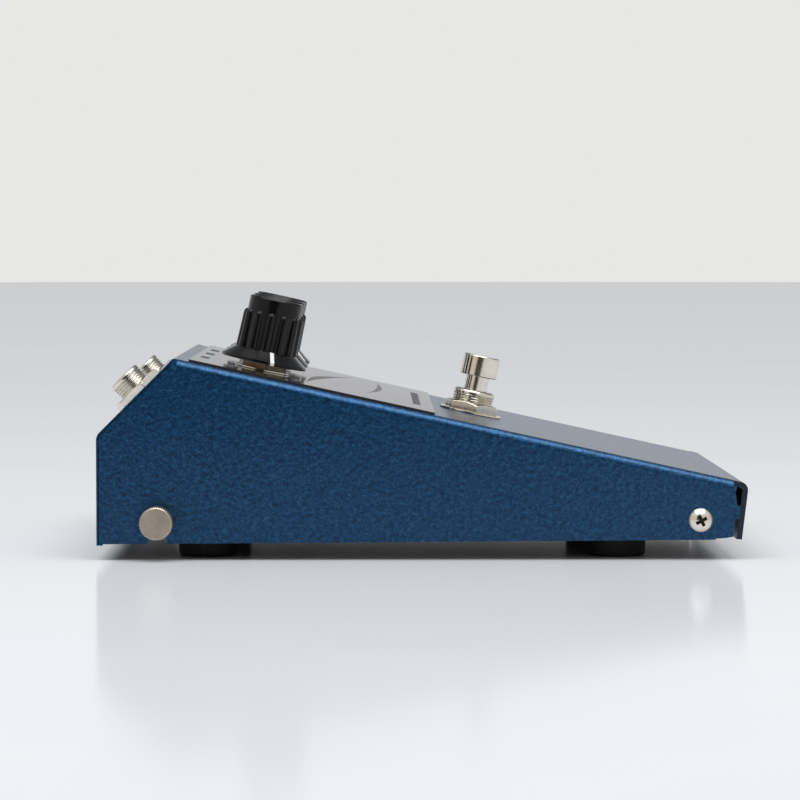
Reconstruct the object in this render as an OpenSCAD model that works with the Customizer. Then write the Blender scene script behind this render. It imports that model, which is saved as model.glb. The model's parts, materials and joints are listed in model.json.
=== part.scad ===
// Wedge-shaped guitar effects pedal: folded steel cover on a base tray, three knobs,
// one footswitch and two jacks. Millimetres. X runs across the pedal, +Y points to the
// jacks at the rear, Z points up, and Z = 0 is the surface that the feet stand on.

/* [Case] */
// Width of the folded cover
case_w = 120; // [112:1:140]
// Length from the rear wall to the front lip
case_l = 176; // [170:1:186]
// Thickness of the cover's steel sheet
sheet = 1.5; // [1.2:0.1:1.8]
// Height of the ridge between the bevel and the top
ridge_z = 54.6; // [52:0.2:60]
// Slope of the top, in degrees
top_slope = 12.3; // [11.5:0.1:12.6]
// Outer radius of the long bends beside the top
bend_r = 2.3; // [2:0.1:2.5]

/* [Base tray] */
// Height of the tray's underside above the table
tray_z = 5.8; // [5.4:0.1:6.4]
// Thickness of the tray's steel sheet
tray_sheet = 1.2; // [1:0.1:1.5]
// Sideways gap between the cover's wall and the tray's flange
wall_gap = 0.3; // [0.3:0.05:0.5]

/* [Controls] */
// Distance between neighbouring knobs
knob_pitch = 27; // [26:0.5:30]
// Place of the knob row along the top
knob_y = 44.5; // [42:0.5:46]
// Diameter of the knob's skirt
skirt_d = 24; // [20:0.5:25]
// Pointer angle of each knob at rest, left to right
pointer_angles = [193, 215, 240];
// Place of the footswitch along the top
switch_y = -14.75; // [-20:0.25:-12]
// Distance of each jack from the middle
jack_x = 37.5; // [30:0.5:42]

/* [Side screws] */
// Place of the front pivot screws
pivot_y = -75.3; // [-76:0.1:-74]
// Height of the front pivot screws
pivot_z = 10.8; // [10:0.1:12]
// Place of the rear thumb screws
thumb_y = 71.6; // [68:0.1:74]
// Height of the rear thumb screws
thumb_z = 10.4; // [10:0.1:12]

/* [Hidden] */

$fn = 48;
eps = 0.02;
half_w = case_w / 2;
half_l = case_l / 2;
inner_x = half_w - sheet;

// Case outline in the Y-Z plane, from the rear wall's foot over the top to the lip's foot
bevel_leg = 20.85;
rear_foot = [half_l, 4.0];
bevel_foot = [half_l, ridge_z - bevel_leg];
ridge = [half_l - bevel_leg, ridge_z];
lip_lean = 6.9;
nose_y = -half_l - 0.3;
nose = [nose_y, ridge_z - (ridge[0] - nose_y) * tan(top_slope)];
lip_foot_z = 5.5;
lip_foot = [nose_y + (nose[1] - lip_foot_z) * tan(lip_lean), lip_foot_z];
outline = [rear_foot, bevel_foot, ridge, nose, lip_foot];
outline_r = [0, 3, 1.7, bend_r, 0];

// Seam beside the rear sheet's cut edge, and the slits beside the front lip
seam_in = 0.45;
seam_w = 0.3;
front_slit = 1.0;
side_foot_rear = 4.4;
side_foot_front = 5.5;
notch_y = -79.4;

// Panel plate
plate_t = 0.6;
plate_inset = 2.5;
plate_rear_y = 63.2;
plate_front_y = -3.4;

// Knob heights above the top's surface
knob_under = 2.7;
rim_h = 1.0;
body_foot = 6.0;
rib_top = 17.0;
knob_top = 20.7;
body_r = 7.5;
rib_r = 1.5;
rib_count = 12;
shaft_r = 3.0;

// Potentiometer
pot_bush_r = 4.7;
pot_hole_r = 4.9;
pot_nut_af = 12.5;
pot_can_r = 12;
board_depth = 14;

// Footswitch heights above the top's surface
bush_r = 6;
bush_top = 6.8;
stem_r = 3.35;
cap_foot = 10.8;
cap_top = 16.8;
cap_r = 5.3;
housing_top = -4.4;
housing_w = 17;

// Jack heights above the bevel's surface
jack_bore_r = 3.25;
jack_r = 4.75;
jack_top = 6.8;
jack_shoulder = -2.1;
jack_nut_turn = 20;

// Screws
thumb_r = 2;
thumb_head_r = 4.6;
thumb_head_l = 5.85;
thumb_teeth = 44;
tooth_depth = 0.38;
pivot_r = 1.5;
run_gap = 0.05;
foot_r = 8.25;
foot_x = 44;
foot_ys = [58.5, -53.5];
foot_hole_r = 1.6;
recess_turn = 28;

// Circuit board, hanging below the potentiometers
board_w = 78;
board_l = 31;
board_t = 1.6;
board_mid_y = -9.5;
film_box = [7, 3, 6.5];

// Battery, clip and snap, below the front of the top
battery_x = -4;
battery_y = -41;
battery_l = 46;
battery_mid = -8.7;
snap_y = 6.4;
pad_t = 0.8;
clip_t = 0.6;
clip_l = 28;

// Wires, each through a few points from one part to another
wire_r = 0.65;
wire_sides = 8;
wire_steps = 4;
red_routes = [
    [[24.5, -33.5, 23], [29, -32, 22.5], [35, -20, 20.5], [36, 8, 20.5], [34, 22, 27]],
    [[-20, 22.5, 27], [-18, 14, 22], [-14, 4, 17], [-6.5, -4.5, 15.5]]];
black_routes = [
    [[24.5, -44.5, 20], [30, -43.5, 19], [43, -24, 17.5], [47.5, 26, 21], [47, 54, 28],
        [44.5, 63, 32]],
    [[20, 22.5, 27], [18, 14, 22], [12, 4, 17], [6.5, -4.5, 15.5]]];
signal_routes = [
    [[-41, 57, 26.5], [-44, 48, 21], [-38, 20, 17], [-20, -2, 14], [-6.5, -9.8, 14]],
    [[34, 57, 26.5], [30, 48, 20], [26, 20, 16], [18, -2, 14], [6.5, -9.8, 14]],
    [[0, 22.5, 27], [0.5, 14, 22], [0.5, 4, 17.5], [0, -4.5, 15.5]]];

// Base tray's ends and the height of its flanges
tray_x = inner_x - wall_gap;
tray_front = -82.2;
tray_rear = 84;
flange_z = 17;

steel_blue = [0.09, 0.24, 0.42];
nickel = [0.75, 0.73, 0.69];
black = [0.06, 0.06, 0.06];
phenolic = [0.42, 0.26, 0.13];

function unit(v) = v / norm(v);
function left_of(v) = [-v[1], v[0]];
function top_z(y) = ridge_z - (ridge[0] - y) * tan(top_slope);
function reversed(p) = [for (i = [len(p) - 1:-1:0]) p[i]];

// Arc that rounds corner b between points a and c
function fillet(a, b, c, r, steps = 7) =
    let (u = unit(a - b), v = unit(c - b), half = acos(u * v) / 2,
         centre = b + unit(u + v) * r / sin(half),
         first = b + u * r / tan(half) - centre,
         last = b + v * r / tan(half) - centre,
         start = atan2(first[1], first[0]),
         turn = atan2(first[0] * last[1] - first[1] * last[0], first * last))
    [for (i = [0:steps])
        centre + r * [cos(start + turn * i / steps), sin(start + turn * i / steps)]];

// A path's corner points moved sideways to its left
function inset(p, t) = [for (i = [0:len(p) - 1])
    let (m = left_of(unit(p[max(i, 1)] - p[max(i, 1) - 1])),
         n = left_of(unit(p[min(i, len(p) - 2) + 1] - p[min(i, len(p) - 2)])))
    p[i] + (m + n) * t / (1 + m * n)];

function rounded(p, r) = concat([p[0]],
    [for (i = [1:len(p) - 2]) each fillet(p[i - 1], p[i], p[i + 1], r[i])],
    [p[len(p) - 1]]);

// Closed outline of a folded sheet whose outer face follows the path p
function sheet_band(p, r, t) = concat(rounded(p, r),
    reversed(rounded(inset(p, t), [for (v = r) max(v - t, 0.2)])));

// Extrudes a Y-Z outline along X between two places
module across(x_from, x_to)
    translate([x_from, 0, 0]) rotate([90, 0, 90]) linear_extrude(x_to - x_from) children();

// Puts children on the sloping top, with +Z along its outward normal
module on_top(x, y)
    translate([x, y, top_z(y)]) rotate([top_slope, 0, 0]) children();

// Puts children at the middle of the bevel, with +Z along its outward normal
module on_bevel(x)
    translate([x, (bevel_foot[0] + ridge[0]) / 2, (bevel_foot[1] + ridge[1]) / 2])
        rotate([-45, 0, 0]) children();

// Puts children on one side of the case, with +Z pointing outward along X
module on_side(side, y, z)
    translate([0, y, z]) rotate([0, side * 90, 0]) children();

module each_pot() for (i = [-1:1]) on_top(i * knob_pitch, knob_y) children();
module each_jack() for (side = [-1, 1]) on_bevel(side * jack_x) children();

module hex(af, h) cylinder(r = af / sqrt(3), h = h, $fn = 6);

module tube(r, bore, h) difference() {
    cylinder(r = r, h = h);
    translate([0, 0, -1]) cylinder(r = bore, h = h + 2);
}

// Hexagonal nut whose upper corners are chamfered at 30 degrees
module hex_nut(af, bore, h) difference() {
    corner = af / sqrt(3) - 0.12;
    trim = corner - af / 2 + 0.15;
    intersection() {
        hex(af, h);
        rotate_extrude() polygon([[0, 0], [corner, 0], [corner, h - trim * tan(30)],
            [corner - trim, h], [0, h]]);
    }
    translate([0, 0, -1]) cylinder(r = bore, h = h + 2);
}

module rounded_box(w, d, h, r) {
    linear_extrude(h) {
        square([w - 2 * r, d], center = true);
        square([w, d - 2 * r], center = true);
        for (x = [-1, 1], y = [-1, 1])
            translate([x * (w / 2 - r), y * (d / 2 - r)]) circle(r, $fn = 24);
    }
}

// ---- Cover ------------------------------------------------------------------

// Cross-section of the top with its two long bends, seen along the slope
module top_section(width, drop) difference() {
    union() {
        translate([-width / 2 + bend_r, -bend_r]) square([width - 2 * bend_r, bend_r]);
        translate([-width / 2, -drop]) square([width, drop - bend_r]);
        for (side = [-1, 1]) translate([side * (width / 2 - bend_r), -bend_r]) circle(bend_r);
    }
    translate([-width / 2 + bend_r, -2 * drop])
        square([width - 2 * bend_r, 2 * drop - sheet]);
    translate([-width / 2 + sheet, -2 * drop])
        square([width - 2 * sheet, 2 * drop - bend_r]);
    for (side = [-1, 1])
        translate([side * (width / 2 - bend_r), -bend_r]) circle(bend_r - sheet);
}

// Outline of a side wall, with its slits beside the front lip
module side_outline() {
    rim = inset(outline, sheet - 0.1);
    slit = inset(outline, sheet + front_slit);
    top_edge = inset(outline, bend_r);
    touch = inset(outline, sheet - 0.1);
    lean = unit(lip_foot - nose);
    function along_lip(p, z) = p + lean * (p[1] - z) / -lean[1];
    polygon(concat(
        [[rim[0][0], side_foot_rear], rim[1], rim[2], top_edge[2], top_edge[3] + [1.8, 0.35]],
        fillet(top_edge[3] + [1.8, 0.35], along_lip(slit[3], 17.6) + [0.6, 0],
            along_lip(slit[3], 15.2), 1.2, 4),
        [along_lip(slit[3], 15.0), along_lip(touch[3], 14.8), along_lip(touch[3], 11.2),
         along_lip(slit[3], 11.0), along_lip(slit[3], side_foot_front + 0.8),
         [notch_y - 2.6, side_foot_front + 0.45], [notch_y, side_foot_front + 0.3],
         [notch_y, side_foot_front]]));
}

// Seam where a side wall meets the folded rear sheet, from the foot nearly to the ridge
module rear_seam() {
    path = [rear_foot - [0, 1], bevel_foot, ridge + 1.6 * unit(bevel_foot - ridge)];
    for (side = [-1, 1])
        across(side > 0 ? inner_x + 0.1 : -half_w - 1, side > 0 ? half_w + 1 : -inner_x - 0.1)
            polygon(sheet_band(inset(path, seam_in), [0, outline_r[1] - seam_in, 0], seam_w));
}

module cover_shell() color(steel_blue) difference() {
    union() {
        // Rear wall and bevel, whose cut edges show at both sides
        across(-half_w, half_w) polygon(sheet_band(
            [rear_foot, bevel_foot, ridge, ridge + 1.2 * unit(nose - ridge)],
            [0, outline_r[1], outline_r[2] / 3, 0], sheet));
        // Top with its long bends
        intersection() {
            translate([0, ridge[0], ridge_z]) rotate([top_slope, 0, 0]) rotate([90, 0, 0])
                linear_extrude(norm(nose - ridge) - 3) top_section(case_w, bend_r + 1.2);
            across(-half_w, half_w) polygon(rounded(
                [[half_l, 0], bevel_foot, ridge, nose, [nose_y, 0]],
                [0, outline_r[1], outline_r[2] / 3, bend_r, 0]));
        }
        // Front lip
        across(-half_w + 0.1, half_w - 0.1) polygon(sheet_band(
            [nose + 4 * unit(ridge - nose), nose, lip_foot], [0, bend_r, 0], sheet));
        // Side walls
        for (side = [-1, 1]) across(side > 0 ? inner_x : -half_w, side > 0 ? half_w : -inner_x)
            side_outline();
    }
    rear_seam();
    each_pot() translate([0, 0, -5]) cylinder(r = pot_hole_r, h = 10);
    on_top(0, switch_y) translate([0, 0, -5]) cylinder(r = bush_r + 0.15, h = 10);
    each_jack() translate([0, 0, -4]) cylinder(r = jack_r + 0.15, h = 8);
    for (side = [-1, 1]) {
        on_side(side, pivot_y, pivot_z)
            translate([0, 0, inner_x - 1]) cylinder(r = pivot_r + run_gap, h = sheet + 2);
        on_side(side, thumb_y, thumb_z)
            translate([0, 0, inner_x - 1]) cylinder(r = thumb_r + 0.5, h = sheet + 2);
        translate([side * (half_w - sheet / 2), thumb_y, thumb_z / 2])
            cube([sheet + 2, 2 * thumb_r + 1, thumb_z], center = true);
    }
}

module panel_plate() color([0.82, 0.83, 0.85]) difference() {
    plate_l = (plate_rear_y - plate_front_y) / cos(top_slope);
    on_top(0, (plate_rear_y + plate_front_y) / 2)
        rounded_box(case_w - 2 * plate_inset, plate_l, plate_t, 0.8);
    each_pot() translate([0, 0, -1]) cylinder(r = pot_hole_r, h = 3);
}

// ---- Potentiometers and knobs -----------------------------------------------

module pot_washers() color(nickel)
    each_pot() translate([0, 0, plate_t]) tube(7.6, pot_bush_r + 0.2, 0.5);

module pot_nuts() color([0.72, 0.6, 0.38])
    each_pot() translate([0, 0, plate_t + 0.5]) rotate(11) hex_nut(pot_nut_af, pot_bush_r, 1.9);

module pot_bushings() color([0.72, 0.6, 0.38]) each_pot() difference() {
    union() {
        translate([0, 0, -sheet - 1.4]) cylinder(r = 9.5, h = 1.4);
        translate([0, 0, -sheet - eps]) cylinder(r = pot_bush_r, h = sheet + 6.0);
    }
    translate([0, 0, -6]) cylinder(r = shaft_r + run_gap, h = 14);
}

module pot_wafers() color(phenolic) each_pot() difference() {
    union() {
        translate([0, 0, -sheet - 3]) cylinder(r = 11, h = 1.6);
        translate([-8, -14, -sheet - 3]) cube([16, 14, 1.6]);
    }
    translate([0, 0, -8]) cylinder(r = shaft_r + 0.4, h = 10);
}

module pot_cans() color([0.7, 0.7, 0.68]) each_pot() difference() {
    translate([0, 0, -board_depth + 1.6])
        cylinder(r = pot_can_r, h = board_depth - 1.6 - sheet - 3);
    translate([0, 0, -board_depth + 2.2])
        cylinder(r = pot_can_r - 0.6, h = board_depth - sheet - 3);
}

module pot_lugs() color([0.85, 0.85, 0.8]) each_pot() for (i = [-1:1]) {
    translate([i * 5 - 0.9, -14.6, -sheet - 3.5]) cube([1.8, 2.4, 0.5]);
    translate([i * 5 - 0.6, -14.6, -board_depth - 2.4]) cube([1.2, 0.5, board_depth - 2.1]);
}

module pot_shaft() color(nickel) {
    translate([0, 0, -9.5]) cylinder(r = 8, h = 1.2);
    translate([0, 0, -9.5]) cylinder(r = shaft_r, h = 9.5 + 16);
}

module knob(pointer) {
    grip_h = knob_top - body_foot;
    color(black) difference() {
        union() {
            rotate_extrude($fn = 96) polygon([
                [0, knob_under], [skirt_d / 2 - 0.1, knob_under],
                [skirt_d / 2, knob_under + 0.15], [skirt_d / 2, knob_under + rim_h - 0.15],
                [skirt_d / 2 - 0.3, knob_under + rim_h], [10.3, 4.7], [8.6, body_foot],
                [body_r, body_foot], [body_r, knob_top - 0.35], [body_r - 0.3, knob_top],
                [body_r - 0.8, knob_top], [body_r - 1.1, knob_top - 0.5],
                [0, knob_top - 0.5]]);
            for (i = [0:rib_count - 1]) rotate(pointer + (i + 0.5) * 360 / rib_count)
                translate([body_r - 0.5, 0, 0]) {
                    translate([0, 0, body_foot - 0.6])
                        cylinder(r1 = rib_r + 0.1, r2 = rib_r - 0.1,
                            h = rib_top - rib_r - body_foot + 0.6, $fn = 20);
                    translate([0, 0, rib_top - rib_r]) sphere(rib_r - 0.1, $fn = 20);
                }
        }
        translate([0, 0, -1]) cylinder(r = shaft_r + 0.02, h = 18);
        translate([0, 0, -1]) cylinder(r = pot_bush_r + 0.7, h = 8.4);
        translate([0, 0, -1]) cylinder(r = 7.6, h = 4.8);
        translate([0, 0, -1]) cylinder(r1 = 14.4, r2 = 7.6, h = 4.8);
        rotate(pointer + 180) translate([0, 0, 10.5]) rotate([0, 90, 0])
            cylinder(r = 1.5, h = 12, $fn = 24);
    }
}

module set_screw(pointer) color([0.25, 0.25, 0.25]) rotate(pointer + 180)
    translate([shaft_r + 0.02, 0, 10.5]) rotate([0, 90, 0]) difference() {
        cylinder(r = 1.5, h = 4.2, $fn = 24);
        translate([0, 0, 3]) cylinder(r = 0.8, h = 2, $fn = 6);
    }

// ---- Footswitch -------------------------------------------------------------

module switch_washer() color(nickel) on_top(0, switch_y) tube(9, bush_r + 0.15, 0.6);

module switch_nut() color(nickel) on_top(0, switch_y)
    translate([0, 0, 0.6]) rotate(8) hex_nut(14, bush_r, 2.5);

module switch_bushing() color(nickel) on_top(0, switch_y) difference() {
    translate([0, 0, housing_top]) rotate_extrude() polygon([
        [stem_r + run_gap, 0], [bush_r, 0], [bush_r, bush_top - housing_top - 0.5],
        [bush_r - 0.5, bush_top - housing_top], [stem_r + run_gap, bush_top - housing_top]]);
    translate([0, 0, 2]) for (i = [0:3]) translate([0, 0, 1.5 + i * 0.8])
        rotate_extrude() polygon([[bush_r - 0.25, 0], [bush_r + 1, -0.35], [bush_r + 1, 0.35]]);
}

module switch_back_nut() color(nickel) on_top(0, switch_y)
    translate([0, 0, -sheet - 2.2]) rotate(20) hex_nut(14, bush_r, 2.2);

module switch_housing() color([0.16, 0.3, 0.55]) on_top(0, switch_y) difference() {
    translate([0, 0, housing_top - 12]) rounded_box(housing_w, housing_w, 12, 0.8);
    translate([0, 0, housing_top - 10.8]) cylinder(r = 6.8, h = 9.6);
    translate([0, 0, housing_top - 5]) cylinder(r = stem_r + 0.15, h = 6);
}

module switch_deck() color(phenolic) on_top(0, switch_y)
    translate([0, 0, housing_top - 14]) rounded_box(housing_w, housing_w, 2, 0.8);

module switch_terminals() color([0.85, 0.85, 0.8]) on_top(0, switch_y)
    for (x = [-1:1], y = [-1:1]) translate([x * 4.8 - 1, y * 4.8 - 0.3, housing_top - 18.2])
        difference() {
            cube([2, 0.6, 4.2]);
            translate([1, -1, 1.3]) rotate([-90, 0, 0]) cylinder(r = 0.55, h = 3, $fn = 16);
        }

module switch_plunger() color(nickel) on_top(0, switch_y) {
    translate([0, 0, housing_top - 4.4]) cylinder(r = stem_r, h = cap_foot - housing_top + 7.6);
    translate([0, 0, housing_top - 4.4]) cylinder(r = 5.2, h = 1.2);
}

module switch_cap() color(nickel) on_top(0, switch_y) translate([0, 0, cap_foot])
    difference() {
        rotate_extrude($fn = 64) polygon([[0, 0], [cap_r - 0.15, 0], [cap_r, 0.15],
            [cap_r, cap_top - cap_foot - 0.3], [cap_r - 0.3, cap_top - cap_foot],
            [0, cap_top - cap_foot]]);
        translate([0, 0, -1]) cylinder(r = stem_r, h = 4.2);
    }

// Return spring, coiled under the plunger's collar
module switch_spring() color(nickel) on_top(0, switch_y)
    translate([0, 0, housing_top - 10.6]) for (i = [0:3]) translate([0, 0, 0.35 + i * 1.7])
        rotate_extrude($fn = 32) translate([4.4, 0]) circle(0.35, $fn = 13);

// ---- Jacks ------------------------------------------------------------------

module jack_bushings() color(nickel) each_jack() difference() {
    union() {
        translate([0, 0, jack_shoulder - 1.2]) cylinder(r = 7.4, h = 1.2);
        translate([0, 0, jack_shoulder - eps]) cylinder(r = jack_r, h = jack_top - jack_shoulder);
    }
    translate([0, 0, jack_shoulder - 2]) cylinder(r = jack_bore_r, h = 14);
    for (i = [0:2]) translate([0, 0, 3.4 + i * 0.8])
        rotate_extrude() polygon([[jack_r - 0.3, 0], [jack_r + 1, -0.4], [jack_r + 1, 0.4]]);
}

module jack_nuts() color(nickel) each_jack() rotate(jack_nut_turn) hex_nut(14, jack_r, 2.3);

module jack_washers() color(nickel) each_jack()
    translate([0, 0, jack_shoulder]) tube(7, jack_r + 0.1, -jack_shoulder - sheet);

// Bracket that carries the contact stack beside the plug
module jack_frames() color(nickel) each_jack() translate([0, 0, jack_shoulder - 1.2]) {
    difference() {
        translate([-8, -7.5, -1.2]) cube([16, 15, 1.2]);
        translate([0, 0, -2]) cylinder(r = jack_bore_r + 0.3, h = 4);
    }
    translate([-8, -7.5, -12]) cube([1.2, 15, 11]);
}

module jack_insulators() color(phenolic) each_jack() translate([0, 0, jack_shoulder - 1.2])
    translate([-6.8, -4, -11.6]) cube([2.2, 8, 7]);

module jack_tip_springs() color([0.8, 0.75, 0.6]) each_jack()
    translate([0, 0, jack_shoulder - 1.2]) {
        translate([-4.6, -2, -11.6]) cube([0.5, 4, 7]);
        translate([-4.6, -2, -20]) cube([0.5, 4, 8.4]);
        translate([-4.6, -2, -20.5]) cube([1.2, 4, 0.5]);
    }

// ---- Circuit board ----------------------------------------------------------

// Puts children on the board's lower face, with +Z pointing away from the panel
module on_board(x, y) on_top(0, knob_y)
    translate([x, y + board_mid_y, -board_depth - board_t]) rotate([180, 0, 0]) children();

module circuit_board() color([0.1, 0.36, 0.18]) difference() {
    on_top(0, knob_y) translate([0, board_mid_y, -board_depth - board_t])
        rounded_box(board_w, board_l, board_t, 1.5);
    each_pot() for (i = [-1:1]) translate([i * 5, -14.35, -board_depth - 3])
        cylinder(r = 0.8, h = 5, $fn = 16);
}

module resistors() color([0.82, 0.7, 0.5]) for (i = [0:9])
    on_board(-31.5 + i * 7, i % 2 == 0 ? 8.5 : 2.2) {
        translate([0, 2.6, 1.3]) rotate([90, 0, 0]) cylinder(r = 1.15, h = 5.2, $fn = 20);
        translate([0, 4.2, 1.3]) rotate([90, 0, 0]) cylinder(r = 0.3, h = 8.4, $fn = 13);
        for (y = [-3.9, 3.9]) translate([0, y, 0]) cylinder(r = 0.3, h = 1.3, $fn = 13);
    }

module film_capacitors() color([0.55, 0.12, 0.1]) for (side = [-1, 1], i = [0, 1])
    on_board(side * (9.6 + i * 7.8), -5)
        translate([-film_box[0] / 2, -film_box[1] / 2, 0]) cube(film_box);

module electrolytic_capacitors() color([0.1, 0.12, 0.3])
    for (i = [0:2]) on_board(-32 + i * 32, -11.2) cylinder(r = 2.5, h = 11, $fn = 32);

module transistors() color(black) for (x = [-16, 10, 21]) on_board(x, -10.8) {
    difference() {
        translate([0, 0, 3]) cylinder(r = 2.4, h = 4.6, $fn = 32);
        translate([-4, 1.2, 2]) cube([8, 4, 8]);
    }
    for (i = [-1:1]) translate([i * 1.27, 0, 0]) cylinder(r = 0.25, h = 3.5, $fn = 13);
}

// ---- Battery ----------------------------------------------------------------

module on_battery() on_top(battery_x, battery_y)
    translate([0, 0, -sheet - pad_t - clip_t - 0.1]) children();

module battery_pad() color([0.2, 0.2, 0.2]) on_top(battery_x, battery_y)
    translate([-clip_l / 2, -11, -sheet - pad_t]) cube([clip_l, 22, pad_t]);

module battery_clip() color(nickel) on_battery() for (part = [0:2])
    if (part == 0) translate([-clip_l / 2, -13.9, 0.1]) cube([clip_l, 27.8, clip_t]);
    else mirror([0, part - 1, 0]) {
        translate([-clip_l / 2, -14.2, -11.5]) cube([clip_l, 0.6, 11.6 + clip_t]);
        translate([-clip_l / 2, -15.1, -12.1]) cube([clip_l, 1.5, 0.6]);
    }

module battery() on_battery() {
    color([0.15, 0.15, 0.17]) translate([-battery_l / 2, 0, battery_mid]) rotate([90, 0, 90])
        rounded_box(26.2, 17.2, battery_l, 2.2);
    color(nickel) for (y = [-snap_y, snap_y])
        translate([battery_l / 2 - eps, y, battery_mid]) rotate([0, 90, 0])
            cylinder(r = 2.8, h = 2.0, $fn = 32);
}

module battery_snap() color(black) on_battery() difference() {
    translate([24.4, 0, battery_mid]) rotate([90, 0, 90]) rounded_box(25, 11.5, 4, 2);
    for (y = [-snap_y, snap_y]) translate([24, y, battery_mid]) rotate([0, 90, 0])
        cylinder(r = 2.85, h = 1.2, $fn = 32);
}

// ---- Wiring -----------------------------------------------------------------

function curve_point(a, b, c, d, t) = 0.5 * (2 * b + (c - a) * t
    + (2 * a - 5 * b + 4 * c - d) * t * t + (3 * b - a - 3 * c + d) * t * t * t);

// Smooth route through hand-placed points
function route(p) = let (last = len(p) - 1) concat(
    [for (i = [0:last - 1], s = [0:wire_steps - 1])
        curve_point(p[max(i - 1, 0)], p[i], p[i + 1], p[min(i + 2, last)], s / wire_steps)],
    [p[last]]);

module wire(points) {
    p = route(points);
    count = len(p);
    rings = [for (i = [0:count - 1])
        let (d = unit(p[min(i + 1, count - 1)] - p[max(i - 1, 0)]),
             u = unit(cross(d, [0.9, 0.1, 0.42])), v = cross(d, u))
        for (k = [0:wire_sides - 1])
            p[i] + wire_r * (cos(k * 360 / wire_sides) * u + sin(k * 360 / wire_sides) * v)];
    polyhedron(rings, concat(
        [[for (k = [0:wire_sides - 1]) k]],
        [for (i = [0:count - 2], k = [0:wire_sides - 1]) let (m = (k + 1) % wire_sides)
            [i * wire_sides + k, (i + 1) * wire_sides + k, (i + 1) * wire_sides + m,
             i * wire_sides + m]],
        [[for (k = [wire_sides - 1:-1:0]) (count - 1) * wire_sides + k]]), convexity = 6);
}

module red_wires() color([0.7, 0.08, 0.06]) for (points = red_routes) wire(points);

module black_wires() color([0.08, 0.08, 0.08]) for (points = black_routes) wire(points);

module signal_wires() color([0.8, 0.75, 0.2]) for (points = signal_routes) wire(points);

// ---- Base -------------------------------------------------------------------

module flange_outline() polygon(concat(
    [[tray_rear, tray_z], [tray_rear, flange_z]],
    fillet([tray_rear, flange_z], [tray_front, flange_z], [tray_front, tray_z], 4),
    [[tray_front, tray_z]]));

module base_tray() color([0.62, 0.63, 0.64]) difference() {
    union() {
        translate([-tray_x, tray_front, tray_z])
            cube([2 * tray_x, tray_rear - tray_front, tray_sheet]);
        translate([-tray_x + 3, tray_rear - tray_sheet, tray_z])
            cube([2 * tray_x - 6, tray_sheet, 9]);
        for (side = [-1, 1]) across(side > 0 ? tray_x - tray_sheet : -tray_x,
            side > 0 ? tray_x : -tray_x + tray_sheet) flange_outline();
    }
    for (side = [-1, 1]) {
        on_side(side, pivot_y, pivot_z) translate([0, 0, inner_x - 4])
            cylinder(r = pivot_r + run_gap, h = 6);
        on_side(side, thumb_y, thumb_z) translate([0, 0, inner_x - 4])
            cylinder(r = thumb_r + run_gap, h = 6);
        for (y = foot_ys) translate([side * foot_x, y, 0]) cylinder(r = foot_hole_r, h = 12);
    }
}

module insulation_sheet() color([0.75, 0.68, 0.5]) translate([-36, -60, tray_z + tray_sheet])
    cube([72, 130, 0.4]);

module rubber_feet() color(black) for (x = [-1, 1], y = foot_ys)
    translate([x * foot_x, y, 0]) rotate_extrude() polygon([[1.6, 2.2], [3.4, 2.2], [3.4, 0],
        [foot_r - 0.6, 0], [foot_r - 0.1, 0.5], [foot_r, tray_z], [1.6, tray_z]]);

module foot_screws() color(nickel) for (x = [-1, 1], y = foot_ys)
    translate([x * foot_x, y, 0]) difference() {
        union() {
            translate([0, 0, 2.2]) cylinder(r = 1.5, h = 8.6, $fn = 24);
            translate([0, 0, 0.6]) cylinder(r = 2.8, h = 1.6);
        }
        for (a = [0, 90]) rotate(a) translate([-1.5, -0.3, 0]) cube([3, 0.6, 1.4]);
    }

module foot_nuts() color(nickel) for (x = [-1, 1], y = foot_ys)
    translate([x * foot_x, y, tray_z + tray_sheet]) hex_nut(5.5, 1.5, 2.4);

module pivot_screws() color(nickel) for (side = [-1, 1]) on_side(side, pivot_y, pivot_z) {
    translate([0, 0, half_w - 8.5]) cylinder(r = pivot_r, h = 9, $fn = 32);
    translate([0, 0, half_w + 0.1]) difference() {
        intersection() {
            cylinder(r = 3.35, h = 3);
            translate([0, 0, -1.95]) sphere(4.0, $fn = 64);
        }
        for (a = [recess_turn, recess_turn + 90]) rotate(a) translate([-1.6, -0.45, 0.9]) cube([3.2, 0.9, 3]);
    }
}

module pivot_nuts() color(nickel) for (side = [-1, 1]) on_side(side, pivot_y, pivot_z)
    translate([0, 0, tray_x - tray_sheet - 2.5]) tube(3, pivot_r, 2.5);

module clinch_nuts() color(nickel) for (side = [-1, 1]) on_side(side, thumb_y, thumb_z)
    translate([0, 0, tray_x - tray_sheet - 3]) tube(3.3, thumb_r + run_gap, 3);

// Knurled screw whose shank passes through the cover's open slot
module thumb_screw(side) color(nickel) on_side(side, thumb_y, thumb_z) {
    chamfer = 0.5;
    translate([0, 0, half_w - 10]) cylinder(r = thumb_r, h = 10.2, $fn = 32);
    translate([0, 0, half_w + 0.15]) intersection() {
        linear_extrude(thumb_head_l) polygon([for (i = [0:2 * thumb_teeth - 1])
            let (r = thumb_head_r - (i % 2) * tooth_depth, a = i * 180 / thumb_teeth)
            r * [cos(a), sin(a)]]);
        cylinder(r1 = thumb_head_r + thumb_head_l - chamfer, r2 = thumb_head_r - chamfer,
            h = thumb_head_l);
        cylinder(r1 = thumb_head_r - chamfer, r2 = thumb_head_r + thumb_head_l - chamfer,
            h = thumb_head_l);
    }
}

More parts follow.
